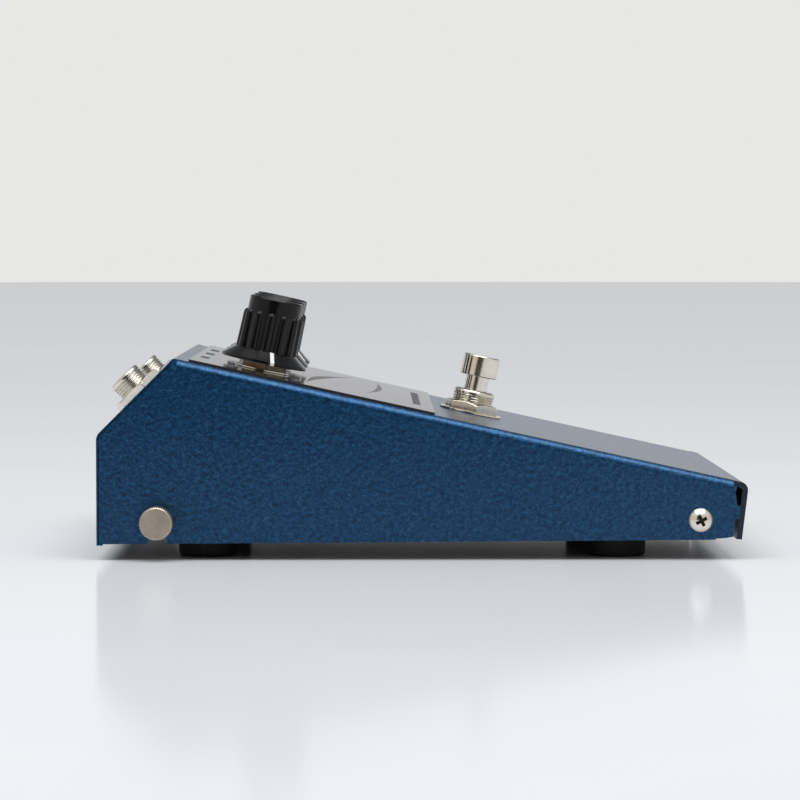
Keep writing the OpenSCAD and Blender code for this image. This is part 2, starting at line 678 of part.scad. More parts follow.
cover_shell();
panel_plate();
pot_washers();
pot_nuts();
pot_bushings();
pot_wafers();
pot_cans();
pot_lugs();
on_top(-knob_pitch, knob_y) pot_shaft();  // shaft_left
on_top(0, knob_y) pot_shaft();  // shaft_middle
on_top(knob_pitch, knob_y) pot_shaft();  // shaft_right
on_top(-knob_pitch, knob_y) knob(pointer_angles[0]);  // knob_left
on_top(0, knob_y) knob(pointer_angles[1]);  // knob_middle
on_top(knob_pitch, knob_y) knob(pointer_angles[2]);  // knob_right
on_top(-knob_pitch, knob_y) set_screw(pointer_angles[0]);  // set_screw_left
on_top(0, knob_y) set_screw(pointer_angles[1]);  // set_screw_middle
on_top(knob_pitch, knob_y) set_screw(pointer_angles[2]);  // set_screw_right
switch_washer();
switch_nut();
switch_bushing();
switch_back_nut();
switch_housing();
switch_deck();
switch_terminals();
switch_spring();
switch_plunger();
switch_cap();
jack_bushings();
jack_nuts();
jack_washers();
jack_frames();
jack_insulators();
jack_tip_springs();
circuit_board();
resistors();
film_capacitors();
electrolytic_capacitors();
transistors();
battery();
battery_snap();
battery_clip();
battery_pad();
red_wires();
black_wires();
signal_wires();
base_tray();
insulation_sheet();
rubber_feet();
foot_screws();
foot_nuts();
pivot_screws();
pivot_nuts();
clinch_nuts();
thumb_screw(-1);  // thumb_screw_left
thumb_screw(1);  // thumb_screw_right
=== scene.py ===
"""Looks of a wedge-shaped guitar effects pedal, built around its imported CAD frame.

Everything is in metres. Each CAD node gets a bevelled, smooth-shaded copy with a
procedural material; threads, pointers, panel ink and the return spring are modelled here.
"""
import json
from math import ceil, cos, pi, radians, sin

import bmesh
import bpy
from mathutils import Matrix, Vector


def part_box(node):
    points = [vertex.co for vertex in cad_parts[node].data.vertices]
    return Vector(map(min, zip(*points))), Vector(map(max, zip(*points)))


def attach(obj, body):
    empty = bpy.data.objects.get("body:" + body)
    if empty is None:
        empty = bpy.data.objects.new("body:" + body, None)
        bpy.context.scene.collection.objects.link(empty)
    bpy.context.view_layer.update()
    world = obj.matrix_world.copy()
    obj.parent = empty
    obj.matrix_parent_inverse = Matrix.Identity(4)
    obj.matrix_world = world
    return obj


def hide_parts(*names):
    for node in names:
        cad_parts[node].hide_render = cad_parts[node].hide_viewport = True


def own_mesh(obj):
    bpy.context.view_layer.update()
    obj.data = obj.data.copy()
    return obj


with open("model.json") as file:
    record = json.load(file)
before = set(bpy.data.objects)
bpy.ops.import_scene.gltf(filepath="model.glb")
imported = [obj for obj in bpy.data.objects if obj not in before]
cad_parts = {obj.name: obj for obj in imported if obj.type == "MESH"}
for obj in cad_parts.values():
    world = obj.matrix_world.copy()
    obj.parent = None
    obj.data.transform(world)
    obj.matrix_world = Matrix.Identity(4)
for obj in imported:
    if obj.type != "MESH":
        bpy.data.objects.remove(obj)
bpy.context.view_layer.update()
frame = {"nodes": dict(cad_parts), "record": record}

MM = 0.001
RECORD = frame["record"]
JOINTS = {joint["name"]: joint for joint in RECORD["behaviour"]["joints"]}
BODY_OF = {node: body for body, nodes in RECORD["behaviour"]["bodies"].items()
           for node in nodes}
SLOT_OF = {part["node"]: part["material_slot"] for part in RECORD["subparts"]}


def node_box(name):
    low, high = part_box(name)
    return Vector(low), Vector(high)


# ---- Camera, light and floor --------------------------------------------------

CAMERA_PLACE = Vector((-0.900, 0.0133, 0.08565))
CAMERA_YAW = radians(0.496)
CAMERA_PITCH = radians(2.88)
LENS = 140.4


def make_camera():
    data = bpy.data.cameras.new("camera")
    data.lens = LENS
    data.sensor_width = 36.0
    data.clip_start = 0.01
    camera = bpy.data.objects.new("camera", data)
    forward = Vector((cos(CAMERA_PITCH) * cos(CAMERA_YAW),
                      -cos(CAMERA_PITCH) * sin(CAMERA_YAW), -sin(CAMERA_PITCH)))
    camera.location = CAMERA_PLACE
    camera.rotation_euler = forward.to_track_quat("-Z", "Y").to_euler()
    bpy.context.collection.objects.link(camera)
    bpy.context.scene.camera = camera


# Studio surroundings by compass direction, as (degrees from -X towards +Y, colour)
WARM = (0.74, 0.68, 0.60)
DARK = (0.14, 0.12, 0.10)
WHITE = (0.70, 0.705, 0.715)
SURROUNDINGS = [
    (-180, WHITE), (-120, WHITE), (-70, WARM), (-16, WARM), (-8, DARK), (24, DARK),
    (34, WARM), (77, WARM), (88, WHITE), (180, WHITE)]

CEILING = (0.80, 0.815, 0.84)
CEILING_FADE = (0.30, 0.62)       # how far the ray's direction rises, 1 is straight up

FAR_WALL = (0.26, 0.27, 0.29)     # wall on the +X side
FAR_WALL_FADE = (0.05, 0.35)      # how far the ray's direction leans towards +X
BLACK, FULL = (0, 0, 0), (1, 1, 1)
FAR_WALL_HEIGHTS = [(0.0, BLACK), (0.26, BLACK), (0.36, FULL), (0.80, FULL), (0.92, BLACK)]

SKIRTING = (0.06, 0.06, 0.06)     # keeps low light from filling the gap under the case
SKIRTING_FADE = (0.55, 0.05)

BACKDROP = (0.80, 0.80, 0.79)     # what the camera sees past the floor


def make_world():
    world = bpy.data.worlds.new("studio")
    bpy.context.scene.world = world
    world.use_nodes = True
    kit = NodeKit(world.node_tree)
    x, y, z = kit.split(kit.nodes.new("ShaderNodeTexCoord").outputs["Generated"])
    compass = kit.calc("ARCTAN2", y, kit.calc("MULTIPLY", x, -1.0))
    walls = kit.ramp(kit.grey(compass, 0.0, 1.0, -pi, pi),
                     [((angle + 180) / 360, colour) for angle, colour in SURROUNDINGS])
    room = kit.mix(kit.fade(z, CEILING_FADE), walls, CEILING)
    far = kit.calc("MULTIPLY", kit.fade(x, FAR_WALL_FADE), kit.ramp(z, FAR_WALL_HEIGHTS))
    room = kit.mix(far, room, FAR_WALL)
    ray = kit.nodes.new("ShaderNodeLightPath").outputs
    low = kit.calc("MULTIPLY", ray["Is Diffuse Ray"], kit.fade(z, SKIRTING_FADE))
    room = kit.mix(low, room, SKIRTING)
    room = kit.mix(ray["Is Camera Ray"], room, BACKDROP)
    kit.links.new(room, kit.nodes["Background"].inputs["Color"])


LIGHT_SIZE = (0.72, 1.1)
LIGHT_PLACE = (-0.30, 0.0, 0.95)
LIGHT_TILT = radians(-14)
LIGHT_WATTS = 7.3


def make_light():
    data = bpy.data.lights.new("overhead", "AREA")
    data.shape = "RECTANGLE"
    data.size, data.size_y = LIGHT_SIZE
    data.energy = LIGHT_WATTS
    light = bpy.data.objects.new("overhead", data)
    light.location = LIGHT_PLACE
    light.rotation_euler = (0, LIGHT_TILT, 0)
    light.visible_camera = False
    bpy.context.collection.objects.link(light)


FLAG_X = -0.56
FLAG_SPAN_Y = (-0.095, 0.245)
FLAG_SPAN_Z = (0.0, 0.34)


def make_flag():
    """Dark studio flag that only reflections see: it puts dark streaks on the plated metal."""
    mesh = bpy.data.meshes.new("flag")
    mesh.from_pydata([(FLAG_X, y, z) for z in FLAG_SPAN_Z for y in FLAG_SPAN_Y],
                     [], [(0, 1, 3, 2)])
    flag = bpy.data.objects.new("flag", mesh)
    bpy.context.collection.objects.link(flag)
    look = Look("flag")
    cloth = look.noise(40, 2)
    look.link(look.ramp(cloth, [(0.3, (0.05, 0.035, 0.025)), (0.7, (0.09, 0.065, 0.045))]),
              "Base Color")
    look.set(Roughness=0.9)
    mesh.materials.append(look.material)
    flag.visible_camera = flag.visible_diffuse = flag.visible_shadow = False


FLOOR_RADIUS = 6.0


def make_floor():
    mesh = bpy.data.meshes.new("floor")
    bm = bmesh.new()
    bmesh.ops.create_circle(bm, cap_ends=True, radius=FLOOR_RADIUS, segments=96)
    bm.to_mesh(mesh)
    bm.free()
    floor = bpy.data.objects.new("floor", mesh)
    bpy.context.collection.objects.link(floor)
    look = Look("floor")
    pale = look.ramp(look.noise(9, 3), [(0.3, (0.755, 0.775, 0.80)),
                                        (0.7, (0.78, 0.795, 0.815))])
    look.link(pale, "Base Color")
    look.set(Roughness=0.13, IOR=1.085)
    mesh.materials.append(look.material)


# ---- Node kit ---------------------------------------------------------------------

class NodeKit:
    """Short names for the nodes that the world and the materials are made of."""

    def __init__(self, tree):
        self.nodes = tree.nodes
        self.links = tree.links

    def feed(self, node, socket, value):
        """Links an output to the socket, or sets the socket's own value."""
        if hasattr(value, "is_output"):
            self.links.new(value, node.inputs[socket])
        else:
            node.inputs[socket].default_value = value

    def split(self, vector):
        node = self.nodes.new("ShaderNodeSeparateXYZ")
        self.links.new(vector, node.inputs[0])
        return node.outputs[0], node.outputs[1], node.outputs[2]

    def calc(self, kind, a, b=0.0):
        node = self.nodes.new("ShaderNodeMath")
        node.operation = kind
        self.feed(node, 0, a)
        self.feed(node, 1, b)
        return node.outputs[0]

    def ramp(self, factor, stops):
        """Colour ramp through (place, colour) stops."""
        node = self.nodes.new("ShaderNodeValToRGB")
        elements = node.color_ramp.elements
        while len(elements) < len(stops):
            elements.new(1.0)
        for element, (place, colour) in zip(elements, stops):
            element.position = place
            element.color = (*colour, 1.0)
        self.links.new(factor, node.inputs[0])
        return node.outputs[0]

    def grey(self, factor, low, high, start=0.3, end=0.7):
        """A value that goes from low to high as the factor goes from start to end."""
        node = self.nodes.new("ShaderNodeMapRange")
        node.inputs["From Min"].default_value = start
        node.inputs["From Max"].default_value = end
        node.inputs["To Min"].default_value = low
        node.inputs["To Max"].default_value = high
        self.links.new(factor, node.inputs["Value"])
        return node.outputs["Result"]

    def fade(self, factor, span):
        """Smooth step from 0 to 1 as the factor crosses the span."""
        result = self.grey(factor, 0.0, 1.0, *span)
        result.node.interpolation_type = "SMOOTHSTEP"
        return result

    def mix(self, factor, a, b):
        """Colour b over colour a, each of them an output or three numbers."""
        node = self.nodes.new("ShaderNodeMix")
        node.data_type = "RGBA"
        self.feed(node, 0, factor)
        self.feed(node, 6, a if hasattr(a, "is_output") else (*a, 1.0))
        self.feed(node, 7, b if hasattr(b, "is_output") else (*b, 1.0))
        return node.outputs[2]


class Look(NodeKit):
    """One material around the Principled shader, textured in object coordinates."""

    def __init__(self, name):
        self.material = bpy.data.materials.new(name)
        self.material.use_nodes = True
        super().__init__(self.material.node_tree)
        self.shader = self.nodes["Principled BSDF"]
        self.place = self.nodes.new("ShaderNodeTexCoord").outputs["Object"]

    def set(self, **values):
        for name, value in values.items():
            self.shader.inputs[name.replace("_", " ")].default_value = value

    def link(self, output, socket):
        self.links.new(output, self.shader.inputs[socket])

    def stretched(self, scale, turn=(0, 0, 0), place=None):
        node = self.nodes.new("ShaderNodeMapping")
        node.inputs["Scale"].default_value = scale
        node.inputs["Rotation"].default_value = turn
        self.links.new(place or self.place, node.inputs["Vector"])
        return node.outputs[0]

    def noise(self, scale, detail=2.0, rough=0.5, place=None, distortion=0.0):
        node = self.nodes.new("ShaderNodeTexNoise")
        self.links.new(place or self.place, node.inputs["Vector"])
        node.inputs["Scale"].default_value = scale
        node.inputs["Detail"].default_value = detail
        node.inputs["Roughness"].default_value = rough
        node.inputs["Distortion"].default_value = distortion
        return node.outputs[0]

    def cells(self, scale, feature="SMOOTH_F1", output="Distance"):
        node = self.nodes.new("ShaderNodeTexVoronoi")
        node.feature = feature
        self.links.new(self.place, node.inputs["Vector"])
        node.inputs["Scale"].default_value = scale
        return node.outputs[output]

    def bands(self, scale, axis, place):
        node = self.nodes.new("ShaderNodeTexWave")
        node.bands_direction = axis
        self.links.new(place, node.inputs["Vector"])
        node.inputs["Scale"].default_value = scale
        return node.outputs["Fac"]

    def rings(self, scale, distortion, place):
        node = self.nodes.new("ShaderNodeTexWave")
        node.wave_type = "RINGS"
        node.rings_direction = "SPHERICAL"
        node.inputs["Scale"].default_value = scale
        node.inputs["Distortion"].default_value = distortion
        self.links.new(place, node.inputs["Vector"])
        return node.outputs["Fac"]

    def red(self, colour):
        node = self.nodes.new("ShaderNodeSeparateColor")
        self.links.new(colour, node.inputs[0])
        return node.outputs[0]

    def bump(self, height, depth, strength=1.0, below=None):
        """Bump of the given depth in metres, over another one where below is given."""
        node = self.nodes.new("ShaderNodeBump")
        node.inputs["Strength"].default_value = strength
        node.inputs["Distance"].default_value = depth
        self.links.new(height, node.inputs["Height"])
        if below:
            self.links.new(below, node.inputs["Normal"])
        return node.outputs[0]


# ---- Materials --------------------------------------------------------------------

PAINT_DARK = (0.0020, 0.030, 0.096)
PAINT_MID = (0.0050, 0.057, 0.150)
PAINT_LIGHT = (0.024, 0.115, 0.235)
BOARD_SLOPE = radians(12.3)


def hammered_paint(name="hammered_paint", worn=False):
    """Hammer-finish enamel: flakes in slow blotches, a fine grain and shallow dimples."""
    look = Look(name)
    grain = look.noise(2900, 3, 0.7)
    blotch = look.noise(800, 3, 0.6, distortion=0.8)
    tone = look.calc("ADD", look.calc("MULTIPLY", grain, 0.55),
                     look.calc("MULTIPLY", blotch, 0.45))
    colour = look.ramp(tone, [(0.37, PAINT_DARK), (0.5, PAINT_MID), (0.64, PAINT_LIGHT)])
    if worn:
        chip = look.grey(look.noise(420, 2, 0.6), 0.0, 1.0, 0.70, 0.73)
        colour = look.mix(chip, colour, (0.42, 0.46, 0.50))
    look.link(colour, "Base Color")
    look.link(look.grey(blotch, 0.30, 0.40), "Roughness")
    dimples = look.bump(look.cells(820), 0.00016, 0.8)
    lumps = look.bump(look.noise(1000, 2, 0.5), 0.00022, 0.7, below=dimples)
    look.link(look.bump(grain, 0.00006, 0.7, below=lumps), "Normal")
    look.set(Metallic=0.92, Coat_Weight=0.42, Coat_Roughness=0.16)
    return look.material


def mirror_plate():
    look = Look("mirror_plate")
    haze = look.noise(60, 3, 0.6)
    colour = look.ramp(haze, [(0.3, (0.50, 0.505, 0.515)), (0.7, (0.56, 0.565, 0.575))])
    look.link(colour, "Base Color")
    scratch = look.noise(900, 2, 0.5, place=look.stretched((1.0, 0.03, 0.03)))
    look.link(look.grey(scratch, 0.035, 0.08), "Roughness")
    look.link(look.bump(scratch, 0.000004, 0.4), "Normal")
    look.set(Metallic=1.0, Specular_Tint=(0.42, 0.42, 0.43, 1.0))
    return look.material


def plate_edge():
    look = Look("plate_edge")
    look.link(look.ramp(look.noise(1500, 2), [(0.3, (0.008, 0.008, 0.009)),
                                              (0.7, (0.02, 0.02, 0.022))]), "Base Color")
    look.set(Roughness=0.45)
    return look.material


def cut_steel():
    look = Look("cut_steel")
    grain = look.noise(1700, 3, 0.6)
    look.link(look.ramp(grain, [(0.35, (0.004, 0.010, 0.024)), (0.65, (0.010, 0.022, 0.045))]),
              "Base Color")
    look.link(look.bump(grain, 0.00004, 0.6), "Normal")
    look.set(Roughness=0.38, Metallic=0.3)
    return look.material


# Painted shade: this near-black brown stands in for the shadow inside the screws' cross recesses.
def painted_recess_shade():
    look = Look("painted_recess_shade")
    grain = look.noise(2500, 3, 0.6)
    look.link(look.ramp(grain, [(0.35, (0.010, 0.007, 0.005)), (0.65, (0.06, 0.04, 0.025))]),
              "Base Color")
    look.set(Roughness=0.6, Metallic=0.4)
    return look.material


def plated_metal(name, low, high, rough):
    """Plated or plain metal with soft cloudiness, fine scratches and a little tarnish."""
    look = Look(name)
    cloud = look.noise(260, 3, 0.6)
    colour = look.ramp(cloud, [(0.3, low), (0.7, high)])
    stain = look.grey(look.noise(700, 3, 0.7), 0.0, 0.35, 0.62, 0.78)
    look.link(look.mix(stain, colour, tuple(0.62 * v for v in low)), "Base Color")
    scratch = look.noise(2600, 2, 0.6, place=look.stretched((0.15, 1.0, 0.4)))
    look.link(look.grey(scratch, rough[0], rough[1]), "Roughness")
    look.link(look.bump(scratch, 0.000006, 0.5), "Normal")
    look.set(Metallic=1.0)
    return look.material


def turned_metal(name, centre):
    """Screw head faced on a lathe: fine rings around its own axis, which lies along X."""
    look = Look(name)
    offset = look.nodes.new("ShaderNodeVectorMath")
    offset.operation = "SUBTRACT"
    offset.inputs[1].default_value = centre
    look.links.new(look.place, offset.inputs[0])
    flat = look.stretched((0.0, 1.0, 1.0), place=offset.outputs[0])
    rings = look.rings(700, 0.6, flat)
    cloud = look.noise(330, 3, 0.6)
    look.link(look.ramp(cloud, [(0.3, (0.43, 0.375, 0.305)), (0.7, (0.53, 0.47, 0.39))]),
              "Base Color")
    look.link(look.grey(cloud, 0.33, 0.42), "Roughness")
    look.link(look.bump(rings, 0.000012, 0.5), "Normal")
    look.set(Metallic=1.0)
    return look.material


def moulded(name, low, high, rough=(0.3, 0.4), specular=0.4, grain=0.00001, scale=1800):
    """Moulded plastic, rubber or lacquer with a faint surface texture."""
    look = Look(name)
    cloud = look.noise(scale, 3, 0.6)
    look.link(look.ramp(look.noise(180, 2), [(0.3, low), (0.7, high)]), "Base Color")
    look.link(look.grey(cloud, rough[0], rough[1]), "Roughness")
    look.link(look.bump(cloud, grain, 0.6), "Normal")
    look.set(Specular_IOR_Level=specular)
    return look.material


def zinc_with_painted_shade():
    """Dull zinc with a faint spangle, its base colour painted near-black as shade for the gap
    under the case.
    """
    look = Look("zinc_with_painted_shade")
    spangle = look.red(look.cells(130, "F1", output="Color"))
    # Painted shade: the near-black base colour stands in for the shadow under the case, not the
    # zinc's own colour.
    look.link(look.ramp(spangle, [(0.0, (0.085, 0.085, 0.088)), (1.0, (0.105, 0.105, 0.108))]),
              "Base Color")
    look.link(look.grey(spangle, 0.38, 0.44, 0.0, 1.0), "Roughness")
    look.link(look.bump(look.noise(1500, 2), 0.00001, 0.5), "Normal")
    look.set(Metallic=0.9)
    return look.material


def circuit_board():
    look = Look("circuit_board")
    tracks = look.nodes.new("ShaderNodeTexBrick")
    look.links.new(look.place, tracks.inputs["Vector"])
    tracks.inputs["Scale"].default_value = 150
    tracks.inputs["Mortar Size"].default_value = 0.06
    tracks.inputs["Color1"].default_value = (0.012, 0.11, 0.045, 1)
    tracks.inputs["Color2"].default_value = (0.018, 0.135, 0.055, 1)
    tracks.inputs["Mortar"].default_value = (0.006, 0.06, 0.025, 1)
    look.link(tracks.outputs["Color"], "Base Color")
    look.link(look.bump(tracks.outputs["Fac"], -0.00003, 0.5), "Normal")
    look.set(Roughness=0.3, Coat_Weight=0.3)
    return look.material


def banded_resistor():
    look = Look("banded_resistor")
    lying = look.stretched((1, 1, 1), (-BOARD_SLOPE, 0, 0))
    stripes = look.bands(165, "Y", lying)
    tan, brown, gold = (0.62, 0.47, 0.27), (0.20, 0.05, 0.02), (0.60, 0.40, 0.08)
    look.link(look.ramp(stripes, [(0.0, brown), (0.12, brown), (0.16, tan), (0.86, tan),
                                  (0.90, gold), (1.0, gold)]), "Base Color")
    look.set(Roughness=0.35, Coat_Weight=0.4)
    return look.material


def battery_jacket():
    look = Look("battery_jacket")
    x_low, x_high = (corner.x for corner in node_box("battery"))
    along = look.grey(look.split(look.place)[0], 0.0, 1.0, x_low, x_high)
    black, copper = (0.012, 0.012, 0.014), (0.50, 0.24, 0.09)
    look.link(look.ramp(along, [(0.0, black), (0.60, black), (0.605, copper), (0.93, copper),
                                (0.935, (0.5, 0.5, 0.5)), (1.0, (0.6, 0.6, 0.6))]), "Base Color")
    look.link(look.grey(look.noise(900, 2), 0.22, 0.34), "Roughness")
    look.set(Metallic=0.35, Coat_Weight=0.3)
    return look.material


def pressed_paper():
    look = Look("pressed_paper")
    fibre = look.noise(1500, 4, 0.7, place=look.stretched((1, 0.3, 1)))
    look.link(look.ramp(fibre, [(0.3, (0.40, 0.33, 0.21)), (0.7, (0.52, 0.44, 0.30))]),
              "Base Color")
    look.link(look.bump(fibre, 0.00003, 0.6), "Normal")
    look.set(Roughness=0.8)
    return look.material


def foam_pad():
    look = Look("foam_pad")
    pores = look.cells(1500, "F1")
    look.link(look.ramp(pores, [(0.1, (0.02, 0.02, 0.02)), (0.6, (0.07, 0.07, 0.075))]),
              "Base Color")
    look.link(look.bump(pores, 0.0001, 0.8), "Normal")
    look.set(Roughness=0.95, Specular_IOR_Level=0.2)
    return look.material


def laminated(name, low, high):
    """Phenolic board: thin dark layers under a dull resin face."""
    look = Look(name)
    fibre = look.noise(700, 4, 0.7, place=look.stretched((1, 1, 6)))
    look.link(look.ramp(fibre, [(0.3, low), (0.7, high)]), "Base Color")
    look.link(look.bump(fibre, 0.00001, 0.5), "Normal")
    look.set(Roughness=0.42)
    return look.material


def ink(name, colour):
    """Printed ink, a little thin in places."""
    look = Look(name)
    patch = look.noise(2200, 3, 0.7)
    thin = tuple(0.82 * v for v in colour)
    look.link(look.ramp(patch, [(0.25, thin), (0.5, colour)]), "Base Color")
    look.link(look.bump(patch, 0.00001, 0.4), "Normal")
    look.set(Roughness=0.5)
    return look.material


def make_materials():
    return {
        "cover_paint": hammered_paint(),
        "mirror_plate": mirror_plate(),
        "nickel": plated_metal("nickel", (0.64, 0.60, 0.525), (0.77, 0.73, 0.655), (0.11, 0.19)),
        "pot_brass": plated_metal("pot_brass", (0.075, 0.058, 0.040), (0.16, 0.125, 0.085),
                                  (0.14, 0.24)),
        "steel": plated_metal("steel", (0.55, 0.54, 0.52), (0.68, 0.67, 0.65), (0.2, 0.3)),
        "tray_zinc": zinc_with_painted_shade(),
        "knob_plastic": moulded("knob_plastic", (0.0025, 0.0027, 0.0026), (0.004, 0.0042, 0.004),
                                (0.12, 0.18), 0.24, 0.000004, 900),
        "black_rubber": moulded("black_rubber", (0.010, 0.010, 0.010), (0.018, 0.018, 0.018),
                                (0.62, 0.78), 0.3, 0.00004, 1600),
        "phenolic": laminated("phenolic", (0.16, 0.085, 0.035), (0.24, 0.13, 0.06)),
        "blue_plastic": moulded("blue_plastic", (0.02, 0.07, 0.26), (0.03, 0.09, 0.31)),
        "black_plastic": moulded("black_plastic", (0.012, 0.012, 0.013), (0.02, 0.02, 0.02)),
        "tinned": plated_metal("tinned", (0.62, 0.62, 0.60), (0.74, 0.74, 0.72), (0.25, 0.4)),
        "spring_steel": plated_metal("spring_steel", (0.52, 0.47, 0.38), (0.64, 0.59, 0.5),
                                     (0.2, 0.3)),
        "black_steel": plated_metal("black_steel", (0.03, 0.03, 0.03), (0.06, 0.06, 0.06),
                                    (0.3, 0.4)),
        "board_green": circuit_board(),
        "resistor_tan": banded_resistor(),
        "capacitor_red": moulded("capacitor_red", (0.30, 0.02, 0.015), (0.38, 0.035, 0.02),
                                 (0.18, 0.28)),
        "capacitor_sleeve": moulded("capacitor_sleeve", (0.010, 0.014, 0.05), (0.015, 0.02, 0.07),
                                    (0.25, 0.35)),
        "battery_jacket": battery_jacket(),
        "foam": foam_pad(),
        "wire_red": moulded("wire_red", (0.42, 0.015, 0.012), (0.50, 0.025, 0.02)),
        "wire_black": moulded("wire_black", (0.012, 0.012, 0.012), (0.02, 0.02, 0.02)),
        "wire_yellow": moulded("wire_yellow", (0.60, 0.48, 0.06), (0.68, 0.56, 0.09)),
        "fish_paper": pressed_paper(),
    }


# ---- Shape kit ----------------------------------------------------------------------

def link_piece(name, mesh, body, materials):
    piece = bpy.data.objects.new(name, mesh)
    bpy.context.collection.objects.link(piece)
    for material in materials:
        mesh.materials.append(material)
    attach(piece, body)
    return piece


def baked(piece):
    """Applies the piece's modifiers to its mesh."""
    graph = bpy.context.evaluated_depsgraph_get()
    mesh = bpy.data.meshes.new_from_object(piece.evaluated_get(graph))
    piece.modifiers.clear()
    piece.data = mesh


WELD = 1e-6
FLAT_ANGLE = radians(0.3)
BEVEL_ANGLE = radians(32)


def clean_mesh(node):
    """The node's surface as a new mesh: seams welded and flat faces joined."""
    bm = bmesh.new()
    bm.from_mesh(frame["nodes"][node].data)
    bmesh.ops.remove_doubles(bm, verts=bm.verts, dist=WELD)
    bmesh.ops.dissolve_limit(bm, angle_limit=FLAT_ANGLE, verts=bm.verts, edges=bm.edges)
    points = [vert.co.copy() for vert in bm.verts]
    bm.verts.index_update()
    faces = [[vert.index for vert in face.verts] for face in bm.faces]
    bm.free()
    mesh = bpy.data.meshes.new(node + "_fine")
    mesh.from_pydata(points, [], faces)
    mesh.update()
    return mesh


def refined(node, materials, width, segments=2, sharp=40, rounds=0, edge_slot=-1):
    """Smooth-shaded copy of a CAD node, which it replaces.

    Its edges are bevelled by the width and can take another material slot. Sharp is the
    angle in degrees from which an edge stays crisp, and rounds smooths a bent wire.
    """
    mesh = clean_mesh(node)
    piece = link_piece(node + "_fine", mesh, BODY_OF[node], materials)
    if width:
        bevel = piece.modifiers.new("edges", "BEVEL")
        bevel.width = width
        bevel.segments = segments
        bevel.limit_method = "ANGLE"
        bevel.angle_limit = BEVEL_ANGLE
        bevel.use_clamp_overlap = True
        bevel.material = edge_slot
    if rounds:
        smooth = piece.modifiers.new("smooth", "SUBSURF")
        smooth.levels = rounds
        smooth.render_levels = rounds
    baked(piece)
    piece.data.shade_smooth()
    piece.data.set_sharp_from_angle(angle=radians(sharp))
    weight = piece.modifiers.new("normals", "WEIGHTED_NORMAL")
    weight.keep_sharp = True
    weight.weight = 80
    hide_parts(node)
    return piece


def facing(origin, normal):
    """Frame on a plane: +Z along its normal, +X across the pedal."""
    z = Vector(normal).normalized()
    x = Vector((1, 0, 0))
    y = z.cross(x)
    return Matrix.Translation(origin) @ Matrix((x, y, z)).transposed().to_4x4()


RING_SEGMENTS = 96
THREAD_FLANK = 2.4     # above 2, so that the groove's bottom is flat


def ring_mesh(name, rings, places, pitch):
    """Closed lathe surface through rings of (height mm, radius mm, thread depth mm).

    A ring with a thread depth is cut by a helix of the given pitch. Each place is a
    frame that the shape is set in.
    """
    points, faces = [], []
    count = len(rings)
    for place in places:
        base = len(points)
        for height, radius, depth in rings:
            for k in range(RING_SEGMENTS):
                angle = 2 * pi * k / RING_SEGMENTS
                turn = (height / pitch - k / RING_SEGMENTS) % 1.0
                groove = depth * min(1.0, THREAD_FLANK * abs(turn - 0.5)) if depth else 0.0
                r = radius - groove
                points.append(place @ (Vector((r * cos(angle), r * sin(angle), height)) * MM))
        for i in range(count):
            near, far = base + i * RING_SEGMENTS, base + (i + 1) % count * RING_SEGMENTS
            for k in range(RING_SEGMENTS):
                m = (k + 1) % RING_SEGMENTS
                faces.append([near + k, near + m, far + m, far + k])
    mesh = bpy.data.meshes.new(name)
    mesh.from_pydata(points, [], faces)
    mesh.update()
    mesh.shade_smooth()
    mesh.set_sharp_from_angle(angle=radians(50))
    return mesh


RINGS_PER_TURN = 10
THREAD_FADE = 0.3      # turns over which a thread runs out
NO_DEPTH = 1e-6


def thread_rings(start, end, radius, depth, pitch):
    """Rings close enough together to carry a thread, fading at both ends."""
    steps = ceil((end - start) / pitch * RINGS_PER_TURN)
    rings = []
    for i in range(steps + 1):
        z = start + (end - start) * i / steps
        fade = min(1.0, (z - start) / (THREAD_FADE * pitch), (end - z) / (THREAD_FADE * pitch))
        rings.append((z, radius, max(depth * fade, NO_DEPTH)))
    return rings


# ---- Refined CAD nodes -----------------------------------------------------------------

# Nodes that have a function of their own below
REBUILT = {"switch_bushing", "jack_bushings", "switch_spring", "cover_shell", "panel_plate",
           "thumb_screw_left", "thumb_screw_right", "pivot_screws"}
# Bevel widths in mm
EDGE = 0.06
EDGES = {"knob_left": 0.22, "knob_middle": 0.22, "knob_right": 0.22, "switch_cap": 0.22,
         "switch_nut": 0.10, "jack_nuts": 0.10, "pot_nuts": 0.09, "rubber_feet": 0.4,
         "battery": 0.5, "film_capacitors": 0.5, "electrolytic_capacitors": 0.35,
         "battery_snap": 0.5, "base_tray": 0.12, "switch_washer": 0.12,
         "pot_washers": 0.1, "battery_pad": 0.25}
WIRES = {"red_wires", "black_wires", "signal_wires"}


def refine_nodes(looks):
    """Gives every CAD node that isn't rebuilt below its fine copy."""
    for node in BODY_OF:
        if node in REBUILT:
            continue
        material = looks[SLOT_OF[node]]
        if node in WIRES:
            refined(node, [material], width=0, sharp=80, rounds=2)
        else:
            refined(node, [material], width=EDGES.get(node, EDGE) * MM)


# Front lip's cut ends: how far they reach in from the sides, back from the front and up
LIP_END_REACH = 0.4 * MM
LIP_DEPTH = 3.6 * MM
LIP_TOP_Z = 0.0185
# The lip leans forward above its foot, and the side walls end this far behind it
LIP_FOOT_Y = -0.0865
LIP_FOOT_Z = 0.0055
LIP_LEAN = 0.121
WALL_SETBACK = 1.9 * MM


def refine_cover(looks):
    """The cover, with worn paint on its edges and bare dark steel on the lip's cut ends."""
    materials = [looks["cover_paint"], hammered_paint("worn_paint", worn=True), cut_steel()]
    cover = refined("cover_shell", materials, width=0.16 * MM, segments=3, edge_slot=1)
    low, high = node_box("cover_shell")
    for face in cover.data.polygons:
        at_end = min(face.center.x - low.x, high.x - face.center.x) < LIP_END_REACH
        on_lip = face.center.y < low.y + LIP_DEPTH and face.center.z < LIP_TOP_Z
        if at_end and on_lip and abs(face.normal.x) > 0.3 and not on_wall(face.center):
            face.material_index = 2


def on_wall(point):
    """True on a side wall's face, which ends short of the sloping lip."""
    lean = (point.z - LIP_FOOT_Z) * LIP_LEAN
    return point.y > LIP_FOOT_Y - lean + WALL_SETBACK


